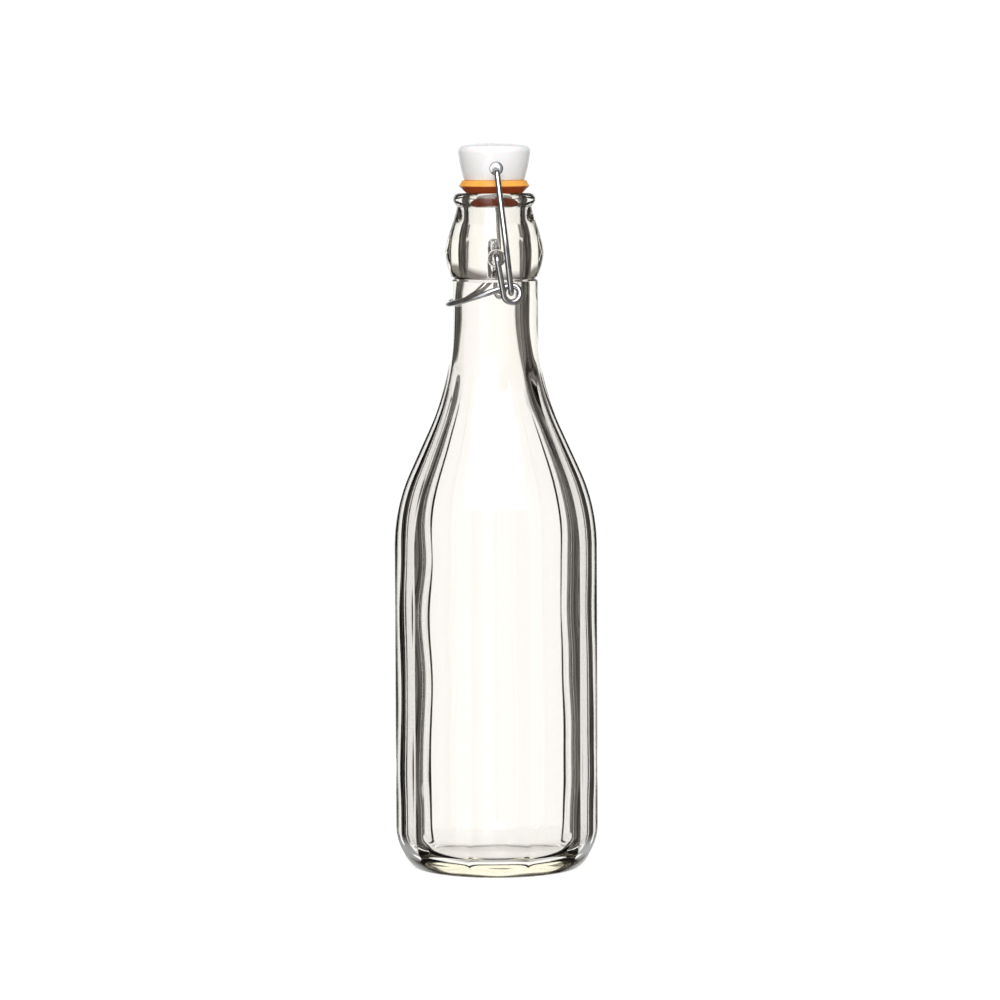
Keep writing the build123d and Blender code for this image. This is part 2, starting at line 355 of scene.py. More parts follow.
def inner_ring(radius, z, angles):
    """One ring of the inside: round, with the slow waves of blown glass in the body.

    The waves are strongest at the right and left, where they show from the front."""
    in_body = ease(z, 14.0, 34.0) * ease(z, 150.0, 110.0)
    in_neck = ease(z, 150.0, 185.0) * ease(z, 224.0, 206.0)
    right, left = np.maximum(np.cos(angles), 0) ** 2, np.maximum(-np.cos(angles), 0) ** 2
    wave = (
        right * (0.55 - 1.2 * ease(z, 62.0, 90.0) + 0.12 * sin(z / 4.0))
        + left * (0.6 * cos((z - 90.0) / 8.4) - 0.35 * ease(z, 95.0, 115.0))
        + 0.10 * np.sin(z / 6.1 + 3.0 * angles + 0.8)
        + 0.08 * np.sin(z / 17.0 - 2.0 * angles)
    )
    radii = radius + in_body * wave + 0.06 * in_neck * np.sin(z / 3.7 + 2.0 * angles)
    shift_x, shift_y = (in_neck * shift for shift in NECK_BORE_SHIFT)
    return np.column_stack([
        radii * np.cos(angles) + shift_x,
        radii * np.sin(angles) + shift_y,
        np.full_like(angles, z),
    ])


def heel_points(body_r):
    """The heel's two arcs as (radius, height), from the bearing ring up."""
    centre_x = body_r - HEEL_BEND_R
    turn = asin((HEEL_Z - HEEL_TURN_R) / (HEEL_BEND_R - HEEL_TURN_R))
    foot_x = centre_x + (HEEL_BEND_R - HEEL_TURN_R) * cos(turn)
    lower = arc((foot_x, HEEL_TURN_R), HEEL_TURN_R, -90, -degrees(turn), 9)
    upper = arc((centre_x, HEEL_Z), HEEL_BEND_R, -degrees(turn), 0, 12)
    return lower[:-1] + upper


def finish_points():
    """The finish's outside as (radius, height), going up, in three parts: groove, side and lip."""
    shoulder, floor_point, foot_point = (NECK_R, FINISH_Z), (GROOVE_R, GROOVE_Z), (NECK_R, FOOT_Z)
    below = round_corner((NECK_R, FINISH_Z - 3), shoulder, floor_point, 0.3, 4)
    floor = round_corner(shoulder, floor_point, foot_point, 0.15, 4)
    foot = round_corner(floor_point, foot_point, (NECK_R + 0.3, FOOT_Z + 0.9), 0.25, 4)
    rise = BULGE_Z - FOOT_Z
    swell = BULGE_R - NECK_R
    bend_r = (rise**2 + swell**2) / (2 * swell)
    bulge = arc((BULGE_R - bend_r, BULGE_Z), bend_r, -degrees(asin((rise - 0.8) / bend_r)), 0, 22)
    cone = smooth_curve([(BULGE_R, BULGE_Z), *CONE], 0.0, -0.15, 40)
    bead = (LIP_R - LIP_BEAD_R, MOUTH_Z - LIP_BEAD_R)
    cone_end = (CONE[2][0] - 0.05, CONE[2][1] + 0.25)
    under = round_corner(CONE[1], cone_end, (LIP_R - 1.3, bead[1] - 1.9), 0.45, 4)
    lip = arc(bead, LIP_BEAD_R, -58, 90, 20)
    return below + floor + foot, bulge + cone[1:-1] + under, lip


def bore_points():
    """The inside as (radius, height), from the mouth's seat down to the middle of the floor."""
    seat = (MOUTH_BORE_R, SEAT_Z)
    brow = round_corner((LIP_R - LIP_BEAD_R, MOUTH_Z), (SEAT_R, MOUTH_Z), seat, 0.7, 6)
    throat = round_corner((SEAT_R, MOUTH_Z), seat, (MOUTH_BORE_R, SEAT_Z - 3), 0.8, 5)
    bore_end = (MOUTH_BORE_R, MOUTH_BORE_Z[1])
    neck_start = (NECK_BORE_R, MOUTH_BORE_Z[0])
    bore = line((MOUTH_BORE_R, SEAT_Z - 1.5), bore_end, 10)[:-1]
    taper = [
        (MOUTH_BORE_R + (NECK_BORE_R - MOUTH_BORE_R) * (1 - cos(pi * t)) / 2,
         bore_end[1] + (neck_start[1] - bore_end[1]) * t)
        for t in np.linspace(0, 1, 12)
    ]
    heel_centre = (CAVITY_R - INNER_HEEL_R, FLOOR_Z[1] + INNER_HEEL_R)
    side = [
        (shoulder_radius(z, CAVITY_R, NECK_BORE_R), z)
        for z in np.linspace(neck_start[1] - 1.5, heel_centre[1], 130)
    ]
    heel = arc(heel_centre, INNER_HEEL_R, 0, -84, 14)[1:]
    floor_edge = heel[-1]
    floor = [
        (floor_edge[0] * (1 - t), FLOOR_Z[0] + (floor_edge[1] - FLOOR_Z[0]) * (1 - t) ** 2)
        for t in np.linspace(0, 1, 12)[1:-1]
    ]
    return brow + throat + bore + taper + side + heel + floor


def base_rings(angles):
    """The outside's rings from the middle of the push-up to the end of the heel."""
    rings = [(0.0, 0.0, PUNT_H)]
    for r in np.linspace(4.0, BEARING_INNER_R - 2.0, 8):
        z = PUNT_H * (1 - (r / BEARING_INNER_R) ** 2)
        rings.append(outer_ring(r, r + NO_FACETS, z, angles))
    for r, z in round_corner((20.0, 0.9), (BEARING_INNER_R, 0.0), (BEARING_OUTER_R, 0.0), 4.0, 6):
        rings.append(outer_ring(r, r + NO_FACETS, z, angles))
    for (r, z), (flat, _) in zip(heel_points(BODY_R), heel_points(FACET_R)):
        rings.append(outer_ring(r, flat + HEEL_FADE * ease(z, HEEL_FADE_Z, 0.0), z, angles))
    return rings


def body_rings(angles):
    """The outside's rings from the heel to just below the finish."""
    rings = []
    for z in np.linspace(HEEL_Z, FINISH_Z - 3, 130)[1:]:
        corner_r = shoulder_radius(z, BODY_R, NECK_R)
        flat_r = shoulder_radius(z, FACET_R, NECK_R + FACET_FADE)
        rings.append(outer_ring(corner_r, flat_r, z, angles))
    return rings


def add_dimple(bottle, rows, angles, side, surface_y):
    """Sinks a dimple with a rounded rim and a bowl-shaped bottom into one side of the finish."""
    heading = 90.0 * side
    half_angle = degrees((DIMPLE_R + DIMPLE_MARGIN) / BULGE_R)
    near = [
        c for c, a in enumerate(np.degrees(angles))
        if abs((a - heading + 180) % 360 - 180) < half_angle
    ]
    border = bottle.window(rows, (near[0], near[-1]))
    loop, ways = polar_patch(bottle, border, side, DIMPLE, surface_y, DIMPLE_R + 0.35)
    rim = ((DIMPLE_R + 0.16, 0.08), (DIMPLE_R + 0.05, 0.22), (DIMPLE_R, DIMPLE_LIP_DEPTH))
    loop = bottle.sink_rim(loop, ways, side, DIMPLE, surface_y, rim)
    bowl_depth = BULGE_R - DIMPLE_LIP_DEPTH - DIMPLE_BOTTOM_Y
    for turn in np.radians(range(12, 88, 6)):
        y = side * (DIMPLE_BOTTOM_Y + bowl_depth * (1 - sin(turn)))
        loop = bottle.extend(loop, flat_loop(DIMPLE, ways, DIMPLE_R * cos(turn), y))
    bottle.cap(loop, (DIMPLE[0], side * DIMPLE_BOTTOM_Y, DIMPLE[1]))


def make_bottle(material):
    """The glass as one closed surface: base, facets, finish, mouth and inside."""
    angles = facet_angles()
    groove, side, lip = finish_points()
    outside = groove + side + lip
    rings = base_rings(angles) + body_rings(angles)
    finish_start = len(rings)
    rings += [outer_ring(r, r + FACET_FADE, z, angles) for r, z in outside]
    rings += [inner_ring(r, z, angles) for r, z in bore_points()]
    rings.append((0.0, 0.0, FLOOR_Z[0]))
    bottle = Turned(rings)

    side_r, side_z = zip(*side)

    def surface_y(x, z):
        return sqrt(np.interp(z, side_z, side_r) ** 2 - x * x)

    rows = [
        i for i, (r, z) in enumerate(outside)
        if abs(z - DIMPLE[1]) < DIMPLE_R + DIMPLE_MARGIN and r > 16
    ]
    span = (finish_start + rows[0], finish_start + rows[-1])
    for side_sign in (-1, 1):
        add_dimple(bottle, span, angles, side_sign, surface_y)
    points, faces = bottle.build()
    return add_piece("bottle_glass", points, faces, material, "bottle", "glass_bottle")


# ---------------------------------------------------------------- stopper and gasket

def turned_rings(profile, angles):
    """Round rings for a profile of (radius, height); a radius of 0 gives the point on the axis."""
    rings = []
    for r, z in profile:
        if r < 1e-6:
            rings.append((0.0, 0.0, z))
        else:
            ring = [r * np.cos(angles), r * np.sin(angles), np.full_like(angles, z)]
            rings.append(np.column_stack(ring))
    return rings


def circle_through(a, b, c):
    """Centre and radius of the circle through three (x, z) points."""
    (ax, ay), (bx, by), (cx, cy) = a, b, c
    d = 2 * (ax * (by - cy) + bx * (cy - ay) + cx * (ay - by))
    ux = ((ax**2 + ay**2) * (by - cy) + (bx**2 + by**2) * (cy - ay) + (cx**2 + cy**2) * (ay - by)) / d
    uy = ((ax**2 + ay**2) * (cx - bx) + (bx**2 + by**2) * (ax - cx) + (cx**2 + cy**2) * (bx - ax)) / d
    return (ux, uy), hypot(ax - ux, ay - uy)


def head_side(z):
    """Radius of the stopper's head at a height, below its rounded edge."""
    centre, radius = circle_through(HEAD_FOOT, HEAD_SIDE_MID, HEAD_EDGE)
    reach = sqrt(radius**2 - (z - centre[1]) ** 2)
    return centre[0] + reach if centre[0] < HEAD_FOOT[0] else centre[0] - reach


def make_stopper(material):
    """White stopper: plug, stem, tapered head with a domed top, and the hole for the bail."""
    angles = np.radians(np.arange(0, 360, 3.0))
    plug = [(0.0, PLUG_BOTTOM_Z), (2.0, PLUG_BOTTOM_Z), (4.5, PLUG_BOTTOM_Z)]
    plug += round_corner((0, PLUG_BOTTOM_Z), (PLUG_R, PLUG_BOTTOM_Z), (PLUG_R, PLUG_Z), 0.8, 6)
    plug += round_corner((PLUG_R, PLUG_BOTTOM_Z), (PLUG_R, PLUG_Z), (STEM_R, PLUG_Z), 0.25, 4)
    plug += [(STEM_R, PLUG_Z), (STEM_R, HEAD_FOOT[1])]
    foot = round_corner((STEM_R, HEAD_FOOT[1]), HEAD_FOOT, HEAD_SIDE_MID, 0.4, 5)
    side = [(head_side(z), z) for z in np.linspace(HEAD_FOOT[1] + 0.7, HEAD_EDGE[1] - 2.2, 28)]
    dome_top = (0.0, HEAD_TOP_Z)
    dome_centre, dome_r = circle_through(dome_top, HEAD_EDGE, (-HEAD_EDGE[0], HEAD_EDGE[1]))
    dome = [
        (x, dome_centre[1] + sqrt(dome_r**2 - x * x))
        for x in np.linspace(HEAD_EDGE[0] - 2.6, 0, 14)
    ]
    brow = round_corner(side[-1], HEAD_EDGE, dome[0], HEAD_EDGE_R, 9)
    profile = plug + foot + side[:-1] + brow + dome[1:]
    profile[-1] = dome_top
    stopper = Turned(turned_rings(profile, angles))
    first = len(plug) + len(foot)
    rows = [
        i for i, (_, z) in enumerate(profile)
        if i >= first and abs(z - STOPPER_HOLE[1]) < STOPPER_HOLE_R + 1.1
    ]
    add_cross_hole(stopper, (rows[0], rows[-1]), angles)
    points, faces = stopper.build()
    return add_piece("stopper_head", points, faces, material, "closure", "stopper")


def add_cross_hole(stopper, rows, angles):
    """Bores the bail's hole through the stopper, along Y."""

    def surface_y(x, z):
        return sqrt(head_side(z) ** 2 - x * x)

    half_angle = degrees((STOPPER_HOLE_R + 1.2) / HEAD_SIDE_MID[0])
    rim = tuple((STOPPER_HOLE_R + grow, depth) for grow, depth in ((0.25, 0.06), (0.08, 0.2), (0.0, 0.5)))
    rims = []
    for side, heading in ((-1, 270.0), (1, 90.0)):
        near = [c for c, a in enumerate(np.degrees(angles)) if abs(a - heading) < half_angle]
        border = stopper.window(rows, (near[0], near[-1]))
        loop, ways = polar_patch(stopper, border, side, STOPPER_HOLE, surface_y, STOPPER_HOLE_R + 0.45)
        loop = stopper.sink_rim(loop, ways, side, STOPPER_HOLE, surface_y, rim)
        for y in (8.0, 4.0, 0.5):
            loop = stopper.extend(loop, flat_loop(STOPPER_HOLE, ways, STOPPER_HOLE_R, side * y))
        rims.append((loop, ways))
    join_tunnel(stopper, rims)


def join_tunnel(surface, rims):
    """Joins the two halves of a tunnel, whose loops run opposite ways."""
    (near, near_ways), (far, far_ways) = rims
    target = near_ways[0]
    shift = max(range(len(far)), key=lambda i: float(far_ways[i] @ target))
    matched = [far[(shift - i) % len(far)] for i in range(len(far))]
    surface.bridge(near, matched)


def make_gasket(material):
    """Orange gasket: a double cone with a sharp rim, on the stopper's stem."""
    top_z, bottom_z = gasket_high.z, gasket_low.z
    top = (GASKET_TOP_R, top_z)
    mouth = (GASKET_MOUTH_R, MOUTH_Z)
    tip = (GASKET_TIP_R, bottom_z)
    hole_low, hole_high = (GASKET_HOLE_R, bottom_z), (GASKET_HOLE_R, top_z)
    profile = line(hole_high, hole_low, 8)[:-1]
    profile += round_corner(hole_high, hole_low, tip, 0.2, 3)
    profile += round_corner(hole_low, tip, mouth, 0.5, 5)
    profile += line(tip, mouth, 8)[2:-1] + line(mouth, GASKET_RIM, 8)[:-1]
    profile += round_corner(mouth, GASKET_RIM, top, 0.22, 5)
    profile += line(GASKET_RIM, top, 7)[1:-1]
    profile += round_corner(GASKET_RIM, top, hole_high, 0.3, 5)
    profile += line((GASKET_TOP_R - 1.0, top_z), (GASKET_HOLE_R + 0.6, top_z), 5)
    angles = np.radians(np.arange(0, 360, 3.0))
    gasket = Turned(turned_rings(profile, angles), closed=True)
    points, faces = gasket.build()
    return add_piece("rubber_gasket", points, faces, material, "closure", "gasket")


# ---------------------------------------------------------------- wires

def filleted(corners, radii, step=0.35):
    """Points along straight runs joined by tangent arcs; one radius for each inner corner."""
    corners = [Vector(c) for c in corners]
    path = [corners[0]]
    for before, corner, after, radius in zip(corners, corners[1:], corners[2:], radii):
        u, v = (before - corner).normalized(), (after - corner).normalized()
        half = u.angle(v) / 2
        start = corner + u * radius / tan(half)
        centre = corner + (u + v).normalized() * radius / sin(half)
        spoke, axis = start - centre, u.cross(v).normalized()
        turn = pi - 2 * half
        count = max(3, ceil(radius * turn / step))
        path += along(path[-1], start, step)
        path += [centre + Matrix.Rotation(-turn * k / count, 3, axis) @ spoke for k in range(1, count + 1)]
    return path + along(path[-1], corners[-1], step * 2)


def along(start, end, step):
    """Points after start up to end, at most a few steps apart."""
    count = max(1, ceil((end - start).length / (step * 3)))
    return [start.lerp(end, k / count) for k in range(1, count + 1)]


def tube(path, radius, sides=20):
    """Points and faces of a round wire along a path, its cut ends slightly rounded."""
    tangents = [(b - a).normalized() for a, b in zip(path, path[1:])]
    tangents = [tangents[0]] + [(a + b).normalized() for a, b in zip(tangents, tangents[1:])] + [tangents[-1]]
    across = tangents[0].orthogonal().normalized()
    sections = []
    end_steps = ((0.0, 0.62), (0.03, 0.8), (0.12, 0.93), (0.3, 1.0))
    for depth, share in end_steps:
        sections.append((path[0] + tangents[0] * depth, tangents[0], radius * share))
    for point, tangent in list(zip(path, tangents))[1:-1]:
        sections.append((point, tangent, radius))
    for depth, share in reversed(end_steps):
        sections.append((path[-1] - tangents[-1] * depth, tangents[-1], radius * share))
    points, faces = [], []
    for centre, tangent, size in sections:
        across = (across - tangent * across.dot(tangent)).normalized()
        up = tangent.cross(across)
        for k in range(sides):
            angle = 2 * pi * k / sides
            points.append(centre + across * (size * cos(angle)) + up * (size * sin(angle)))
    rows = len(sections)
    for row in range(rows - 1):
        for k in range(sides):
            a, b = row * sides + k, row * sides + (k + 1) % sides
            faces.append((a, b, b + sides, a + sides))
    faces.append(tuple(reversed(range(sides))))
    faces.append(tuple(range((rows - 1) * sides, rows * sides)))
    return points, faces


def mirrored(path):
    """The path continued by its own mirror image in the XZ plane."""
    return path + [Vector((p.x, -p.y, p.z)) for p in reversed(path[:-1])]


def lever_path():
    """Half the lever wire: dimple end, arm, one turn of the eye, handle arm and half the bow."""
    to_eye = Vector((EYE[0] - PIVOT.x, EYE[1] - PIVOT.z))
    entry = pi + atan2(to_eye.y, to_eye.x) + acos(EYE_R / to_eye.length)
    leave = 2 * pi + pi / 2 + HANDLE_LEAN

    def on_eye(angle):
        y = -ARM_Y + (ARM_Y - HANDLE_Y) * ease(angle, entry, leave)
        return Vector((EYE[0] + EYE_R * cos(angle), y, EYE[1] + EYE_R * sin(angle)))

    start = (PIVOT.x, -PIVOT_TIP_Y, PIVOT.z)
    elbow = (PIVOT.x, -ARM_Y, PIVOT.z)
    path = filleted([start, elbow, on_eye(entry)], [ELBOW_R])
    turns = 48
    path += [on_eye(entry + (leave - entry) * k / turns) for k in range(1, turns + 1)]
    top = path[-1]
    arm_dir = Vector((-cos(HANDLE_LEAN), 0, -sin(HANDLE_LEAN)))
    bow_start = top + arm_dir * ((top.x - HANDLE_BOW_X) / cos(HANDLE_LEAN))
    path += along(top, bow_start, 0.35)
    centre = Vector((bow_start.x, 0, bow_start.z))
    for k in range(1, 41):
        angle = pi / 2 * k / 40
        path.append(centre + arm_dir * HANDLE_Y * sin(angle) - Vector((0, HANDLE_Y, 0)) * cos(angle))
    return path


def bail_path():
    """Half the bail wire: hooked end, leg, shoulder and half the bar through the stopper."""
    hook, bar = Vector((HOOK.x, 0, HOOK.z)), Vector((CROSSBAR.x, 0, CROSSBAR.z))
    bend = hook + (bar - hook).normalized() * LEG_BEND
    corners = [
        (hook.x, -HOOK_TIP_Y, hook.z),
        (hook.x, -LEG_Y, hook.z),
        (bend.x, -LEG_Y, bend.z),
        (bar.x, -LEG_TOP_Y, bar.z),
        (bar.x, 0, bar.z),
    ]
    return filleted(corners, [ELBOW_R, LEG_BEND_R, ELBOW_R])


def make_wires(material):
    """The lever and the bail, each one bent wire."""
    points, faces = tube(mirrored(lever_path()), WIRE_R)
    lever = add_piece("lever_bent_wire", points, faces, material, "lever", "lever_wire")
    points, faces = tube(mirrored(bail_path()), WIRE_R)
    bail = add_piece("bail_bent_wire", points, faces, material, "bail", "bail_wire")
    return lever, bail


# ---------------------------------------------------------------- materials

def new_material(name):
    """A material with its node tree, its Principled node and its texture coordinates."""
    material = bpy.data.materials.new(name)
    material.use_nodes = True
    nodes = material.node_tree.nodes
    shader = next(n for n in nodes if n.type == "BSDF_PRINCIPLED")
    coordinates = nodes.new("ShaderNodeTexCoord")
    return material, material.node_tree, shader, coordinates.outputs["Object"]


def noise(tree, vector, scale, detail=2.0, roughness=0.5, stretch=(1, 1, 1)):
    """A noise texture on stretched coordinates; returns its value output."""
    mapping = tree.nodes.new("ShaderNodeMapping")
    mapping.inputs["Scale"].default_value = stretch
    texture = tree.nodes.new("ShaderNodeTexNoise")
    texture.inputs["Scale"].default_value = scale
    texture.inputs["Detail"].default_value = detail
    texture.inputs["Roughness"].default_value = roughness
    tree.links.new(vector, mapping.inputs["Vector"])
    tree.links.new(mapping.outputs["Vector"], texture.inputs["Vector"])
    return texture.outputs["Fac"]


def spread(tree, value, low, high, start=0.3, end=0.7):
    """Maps a value from one range, start to end, to another, low to high; clamped."""
    node = tree.nodes.new("ShaderNodeMapRange")
    node.inputs["From Min"].default_value = start
    node.inputs["From Max"].default_value = end
    node.inputs["To Min"].default_value = low
    node.inputs["To Max"].default_value = high
    tree.links.new(value, node.inputs["Value"])
    return node.outputs["Result"]


def ramp(tree, value, stops):
    """A colour ramp with (position, colour) stops."""
    node = tree.nodes.new("ShaderNodeValToRGB")
    elements = node.color_ramp.elements
    while len(elements) < len(stops):
        elements.new(0.5)
    for element, (position, colour) in zip(elements, stops):
        element.position = position
        element.color = (*colour, 1)
    tree.links.new(value, node.inputs["Fac"])
    return node.outputs["Color"]


def blend_colour(tree, factor, low, high):
    """One colour where the factor is 0 and the other where it is 1."""
    node = tree.nodes.new("ShaderNodeMix")
    node.data_type = "RGBA"
    tree.links.new(factor, node.inputs["Factor"])
    tree.links.new(low, node.inputs["A"])
    tree.links.new(high, node.inputs["B"])
    return node.outputs["Result"]


def bump(tree, shader, height, strength, distance):
    """Adds bump from a height value to a shader."""
    node = tree.nodes.new("ShaderNodeBump")
    node.inputs["Strength"].default_value = strength
    node.inputs["Distance"].default_value = distance
    tree.links.new(height, node.inputs["Height"])
    tree.links.new(node.outputs["Normal"], shader.inputs["Normal"])


def glass_material():
    """Clear flint glass, faintly warm in its thick parts, with the skin ripple of moulded glass."""
    material, tree, shader, place = new_material("clear_glass")
    shader.inputs["Base Color"].default_value = (1.0, 0.986, 0.97, 1)
    tint = tree.nodes.new("ShaderNodeVolumeAbsorption")
    tint.inputs["Color"].default_value = (0.93, 0.90, 0.66, 1)
    tint.inputs["Density"].default_value = 15.0
    output = next(n for n in tree.nodes if n.type == "OUTPUT_MATERIAL")
    tree.links.new(tint.outputs["Volume"], output.inputs["Volume"])
    shader.inputs["Roughness"].default_value = 0.0
    shader.inputs["IOR"].default_value = 1.52
    shader.inputs["Transmission Weight"].default_value = 1.0
    ripple = noise(tree, place, 90.0, 2.0, 0.5, (1, 1, 0.25))
    bump(tree, shader, ripple, 0.3, 0.00006)
    return material


def distance_from_hole(tree, place):
    """Distance from the axis of the stopper's cross-hole, in metres."""
    offset = tree.nodes.new("ShaderNodeVectorMath")
    offset.operation = "SUBTRACT"
    offset.inputs[1].default_value = (STOPPER_HOLE[0] * MM, 0, STOPPER_HOLE[1] * MM)
    tree.links.new(place, offset.inputs[0])
    flat = tree.nodes.new("ShaderNodeVectorMath")
    flat.operation = "MULTIPLY"
    flat.inputs[1].default_value = (1, 0, 1)
    tree.links.new(offset.outputs["Vector"], flat.inputs[0])
    reach = tree.nodes.new("ShaderNodeVectorMath")
    reach.operation = "LENGTH"
    tree.links.new(flat.outputs["Vector"], reach.inputs[0])
    return reach.outputs["Value"]


def plastic_material():
    """White moulded plastic with a soft gloss, and painted shade inside the hole for the bail: near-black
    colour and little specular there.
    """
    material, tree, shader, place = new_material("white_plastic")
    tone = noise(tree, place, 160.0, 3.0)
    plastic_white = ramp(tree, tone, [(0.3, (0.88, 0.88, 0.88)), (0.7, (0.93, 0.93, 0.925))])
    # painted shade: near-black colour, a little olive, inside the bail's hole, where little light gets in
    painted_hole_shade = ramp(tree, tone, [(0.3, (0.015, 0.012, 0.007)), (0.7, (0.05, 0.04, 0.025))])
    rim = (STOPPER_HOLE_R + 0.2) * MM
    outside = spread(tree, distance_from_hole(tree, place), 0.0, 1.0, rim - 0.0001, rim + 0.0001)
    tree.links.new(blend_colour(tree, outside, painted_hole_shade, plastic_white), shader.inputs["Base Color"])
    tree.links.new(spread(tree, tone, 0.2, 0.3), shader.inputs["Roughness"])
    # the hole's painted shade also takes most of the specular away there
    tree.links.new(spread(tree, outside, 0.06, 0.5, 0.0, 1.0), shader.inputs["Specular IOR Level"])
    shader.inputs["Subsurface Weight"].default_value = 0.25
    shader.inputs["Subsurface Scale"].default_value = 0.002
    bump(tree, shader, noise(tree, place, 900.0, 3.0), 0.06, 0.0002)
    return material


def rubber_material():
    """Orange seal rubber, with painted shade: a darker, deeper red on its lower cone, which faces down."""
    material, tree, shader, place = new_material("orange_rubber")
    tone = noise(tree, place, 260.0, 4.0)
    upper = ramp(tree, tone, [(0.3, (0.94, 0.40, 0.06)), (0.7, (0.98, 0.46, 0.09))])
    # painted shade: the lower cone's darker red stands in for the shade that falls on it as it faces down;
    # the rubber itself is one colour
    lower = ramp(tree, tone, [(0.3, (0.42, 0.062, 0.008)), (0.7, (0.54, 0.09, 0.012))])
    parts = tree.nodes.new("ShaderNodeSeparateXYZ")
    tree.links.new(place, parts.inputs["Vector"])
    rim_z = GASKET_RIM[1] * MM
    shade = spread(tree, parts.outputs["Z"], 0.0, 1.0, rim_z - 0.0003, rim_z + 0.0001)
    tree.links.new(blend_colour(tree, shade, lower, upper), shader.inputs["Base Color"])
    tree.links.new(spread(tree, tone, 0.34, 0.46), shader.inputs["Roughness"])
    shader.inputs["Subsurface Weight"].default_value = 0.15
    shader.inputs["Subsurface Scale"].default_value = 0.0015
    bump(tree, shader, noise(tree, place, 1200.0, 3.0), 0.12, 0.0002)
    return material


def wire_material():
    """Bright drawn steel wire: fine lengthwise drawing lines and small differences in polish."""
    material, tree, shader, place = new_material("bright_wire")
    tone = noise(tree, place, 420.0, 4.0, 0.6)
    colour = ramp(tree, tone, [(0.3, (0.60, 0.61, 0.63)), (0.7, (0.80, 0.81, 0.83))])
    tree.links.new(colour, shader.inputs["Base Color"])
    shader.inputs["Metallic"].default_value = 1.0
    tree.links.new(spread(tree, tone, 0.10, 0.22), shader.inputs["Roughness"])
    bump(tree, shader, noise(tree, place, 2200.0, 2.0, 0.5, (1, 1, 0.1)), 0.1, 0.0001)
    return material


# ---------------------------------------------------------------- studio

def make_floor():
    """A plain white light table under the bottle, which the glass doesn't show."""
    mesh = bpy.data.meshes.new("floor")
    rim = [(FLOOR_R * cos(a), FLOOR_R * sin(a), 0.0) for a in np.radians(range(0, 360, 3))]
    mesh.from_pydata(rim, [], [tuple(range(len(rim)))])
    floor = bpy.data.objects.new("floor", mesh)
    bpy.context.scene.collection.objects.link(floor)
    material, tree, shader, place = new_material("floor_white")
    shader.inputs["Base Color"].default_value = (0.35, 0.35, 0.35, 1)
    shader.inputs["Roughness"].default_value = 0.9
    shader.inputs["Specular IOR Level"].default_value = 0.0
    shader.inputs["Emission Color"].default_value = (1.0, 0.99, 0.97, 1)
    shader.inputs["Emission Strength"].default_value = 0.86
    mesh.materials.append(material)
    floor.visible_transmission = False
    floor.visible_glossy = False


def calculate(tree, operation, first, second=0.0):
    """A math node on sockets or numbers; returns its output."""
    node = tree.nodes.new("ShaderNodeMath")
    node.operation = operation
    for socket, value in zip(node.inputs, (first, second)):
        if isinstance(value, (int, float)):
            socket.default_value = value
        else:
            tree.links.new(value, socket)
    return node.outputs[0]


def blend(tree, factor, low, high):
    """low where the factor is 0 and high where it is 1; both are sockets or numbers."""
    node = tree.nodes.new("ShaderNodeMix")
    node.data_type = "FLOAT"
    tree.links.new(factor, node.inputs["Factor"])
    for socket, value in ((node.inputs["A"], low), (node.inputs["B"], high)):
        if isinstance(value, (int, float)):
            socket.default_value = value
        else:
            tree.links.new(value, socket)
    return node.outputs["Result"]


def studio_zones(tree, heading):
    """How far a direction lies in each zone of the studio, from 0 to 1, as sockets by name."""
    parts = tree.nodes.new("ShaderNodeSeparateXYZ")
    tree.links.new(heading, parts.inputs["Vector"])
    x, y, z = parts.outputs
    backdrop_edge = calculate(tree, "MULTIPLY", y, tan(BACKDROP_HALF))
    past_edge = calculate(tree, "SUBTRACT", calculate(tree, "ABSOLUTE", x), backdrop_edge)
    strip_offset = calculate(tree, "ABSOLUTE", calculate(tree, "ADD", x, 0.42))
    streaks = noise(tree, heading, 7.0, 3.0, 0.6, (1, 1, 0.15))
    return {
        "beside": spread(tree, past_edge, 0.0, 1.0, -0.05, 0.05),
        "past_flags": spread(tree, y, 0.0, 1.0, 0.32, 0.18),
        "in_front": spread(tree, y, 0.0, 1.0, -0.45, -0.85),
        "below": spread(tree, z, 0.0, 1.0, -0.21, -0.24),
        "far_below": spread(tree, z, 0.0, 1.0, -0.75, -0.95),
        "over_backdrop": spread(tree, z, 0.0, 1.0, 0.20, 0.30),
        "above": spread(tree, z, 0.0, 1.0, 0.70, 0.95),
        "off_strip": spread(tree, strip_offset, 0.0, 1.0, 0.22, 0.30),
        "dark": spread(tree, streaks, 0.02, 0.20, 0.40, 0.66),
    }


def seen_through(tree, zone):
    """Level for light that comes through the glass: the backdrop between its dark flags."""
    backdrop = blend(tree, zone["over_backdrop"], 1.17, 0.25)
    flags = blend(tree, zone["past_flags"], zone["dark"], 1.05)
    return blend(tree, zone["below"], blend(tree, zone["beside"], backdrop, flags), 1.1)


def seen_mirrored(tree, zone, bounces):
    """Level for mirrored light: also the dim room, with one bright strip; dark when trapped."""
    backdrop = blend(tree, zone["over_backdrop"], 1.15, 0.3)
    room = blend(tree, zone["in_front"], zone["dark"], blend(tree, zone["off_strip"], 1.1, 0.16))
    level = blend(tree, zone["beside"], backdrop, room)
    level = blend(tree, zone["above"], blend(tree, zone["far_below"], level, 0.5), 0.3)
    trapped = spread(tree, bounces, 0.0, 1.0, 2.4, 2.6)
    return blend(tree, trapped, level, zone["dark"])


def seen_scattered(tree, zone):
    """Level for the light that falls on matt surfaces: soft, and stronger from the sides."""
    level = blend(tree, zone["beside"], 0.6, blend(tree, zone["in_front"], 0.38, 0.95))
    return blend(tree, zone["above"], blend(tree, zone["below"], level, 0.35), 0.4)


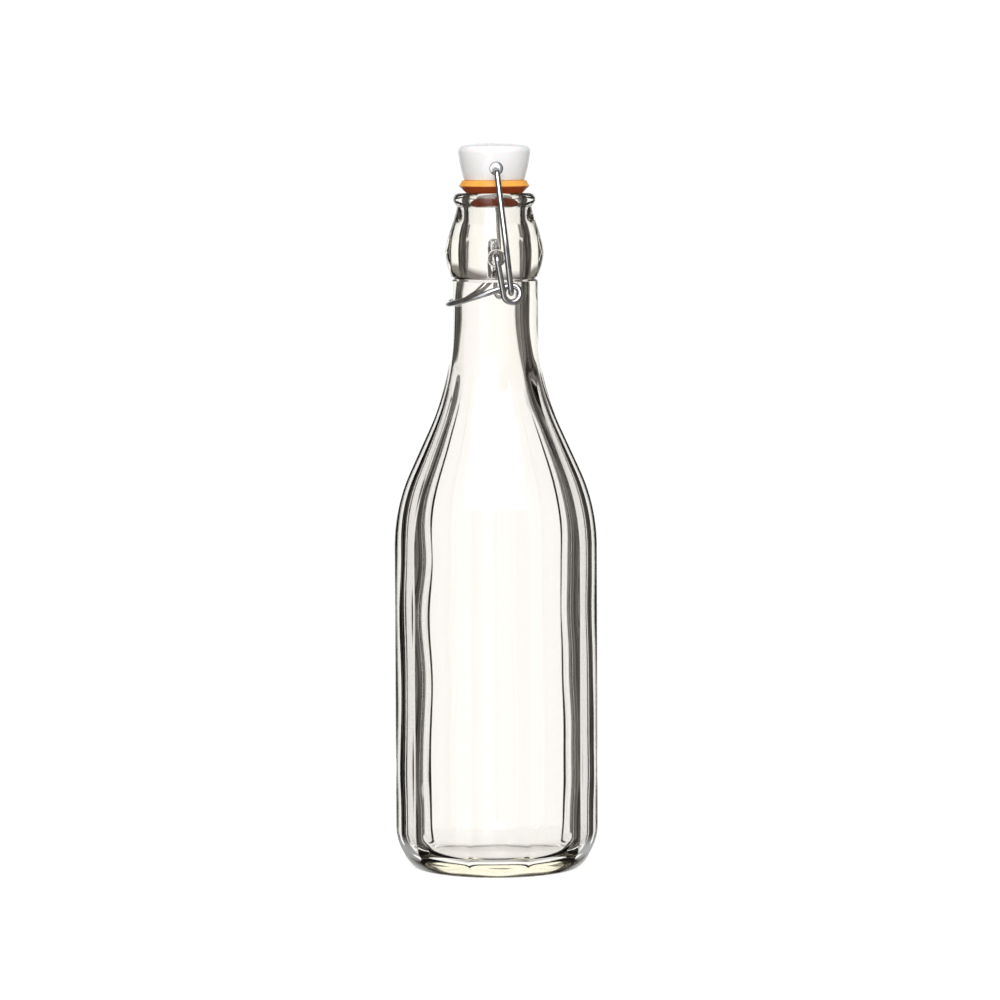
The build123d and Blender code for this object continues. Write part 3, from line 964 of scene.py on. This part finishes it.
def make_world():
    """A bright-field studio: a white backdrop, dark flags beside it and a dim room in front.

    The camera itself sees plain white all round."""
    world = bpy.data.worlds.new("studio")
    bpy.context.scene.world = world
    world.use_nodes = True
    tree = world.node_tree
    tree.nodes.clear()
    output = tree.nodes.new("ShaderNodeOutputWorld")
    background = tree.nodes.new("ShaderNodeBackground")
    path = tree.nodes.new("ShaderNodeLightPath").outputs
    heading = tree.nodes.new("ShaderNodeTexCoord").outputs["Generated"]
    zone = studio_zones(tree, heading)
    bounced = calculate(tree, "GREATER_THAN", path["Glossy Depth"], 0.5)
    scattered = calculate(tree, "GREATER_THAN", path["Diffuse Depth"], 0.5)
    level = blend(tree, bounced, seen_through(tree, zone), seen_mirrored(tree, zone, path["Glossy Depth"]))
    level = blend(tree, scattered, level, seen_scattered(tree, zone))
    level = blend(tree, path["Is Camera Ray"], level, 1.05)
    tree.links.new(level, background.inputs["Strength"])
    warm_darks = ramp(tree, level, [(0.0, (1.0, 0.90, 0.82)), (0.6, (1.0, 1.0, 1.0))])
    tree.links.new(warm_darks, background.inputs["Color"])
    tree.links.new(background.outputs["Background"], output.inputs["Surface"])


def add_softbox(name, place, target, size, energy):
    """A rectangular soft light that faces a point."""
    data = bpy.data.lights.new(name, "AREA")
    data.shape = "RECTANGLE"
    data.size, data.size_y = size
    data.energy = energy
    light = bpy.data.objects.new(name, data)
    light.location = place
    light.rotation_euler = (Vector(target) - Vector(place)).to_track_quat("-Z", "Y").to_euler()
    light.visible_camera = False
    bpy.context.scene.collection.objects.link(light)


def make_camera():
    """A long lens from a little above the shoulder, turned slightly to the left of the front."""
    data = bpy.data.cameras.new("camera")
    data.lens = CAMERA_LENS
    data.sensor_width = 36.0
    camera = bpy.data.objects.new("camera", data)
    bpy.context.scene.collection.objects.link(camera)
    across, back = CAMERA_DISTANCE * sin(CAMERA_AZIMUTH), -CAMERA_DISTANCE * cos(CAMERA_AZIMUTH)
    camera.location = (across, back, CAMERA_HEIGHT)
    view = (Vector(CAMERA_TARGET) - camera.location).to_track_quat("-Z", "Y").to_matrix()
    camera.rotation_euler = (view @ Matrix.Rotation(CAMERA_ROLL, 3, "Z")).to_euler()
    bpy.context.scene.camera = camera


make_camera()
make_floor()
make_world()
add_softbox("key_softbox", (-0.1, -1.21, 1.19), (0, 0, 0.14), (1.3, 1.1), 18.0)
bpy.context.scene.view_settings.view_transform = "Standard"

make_bottle(glass_material())
make_stopper(plastic_material())
make_gasket(rubber_material())
make_wires(wire_material())
